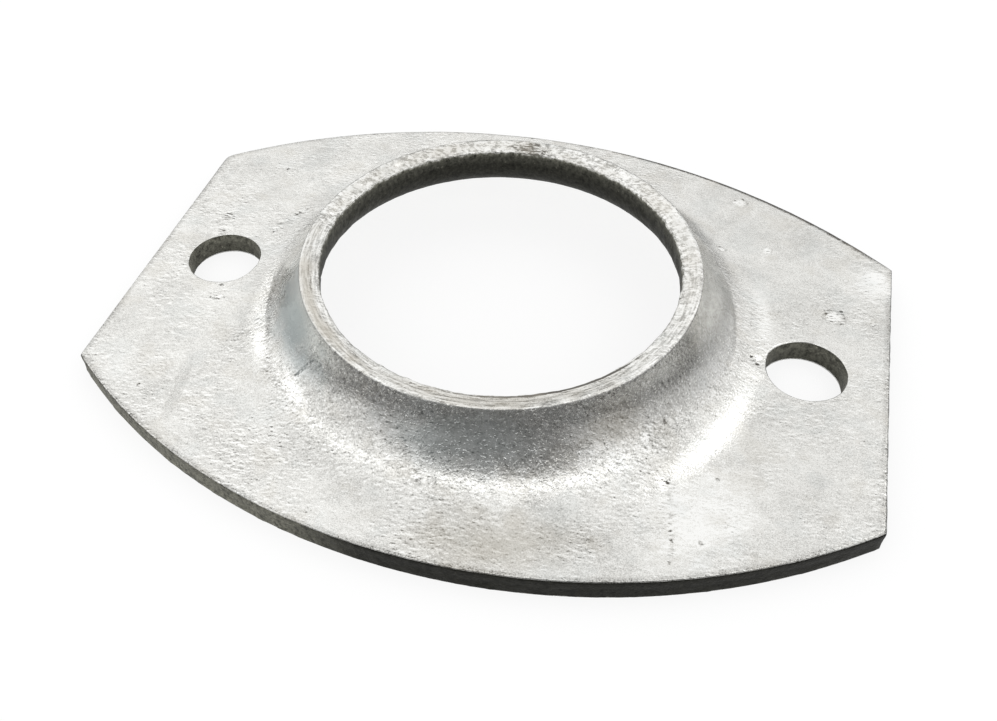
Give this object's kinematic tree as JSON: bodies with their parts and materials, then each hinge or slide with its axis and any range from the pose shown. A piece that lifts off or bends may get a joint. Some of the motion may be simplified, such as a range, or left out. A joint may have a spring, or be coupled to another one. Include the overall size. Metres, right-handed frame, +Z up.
{
  "type": "tube clamp base flange",
  "caption": "Pressed and galvanised steel base flange for a clamped tube: a bowed plate drawn up into a round collar, with bolt holes near its cut ends.",
  "frame": {"origin": "on the axis of the collar's bore, in the plane of the underside that bolts down", "axes": "+Z up the bore and out of the collar, +X along the length through both bolt holes, +Y across the width"},
  "size_m": [0.109, 0.087, 0.0139],
  "materials": {
    "galvanised_steel": "hot-dip galvanised, dull grey zinc with a fine bright grain, runs and dross specks"
  },
  "bodies": {
    "root": {"flange_plate": "galvanised_steel"}
  },
  "joints": []
}
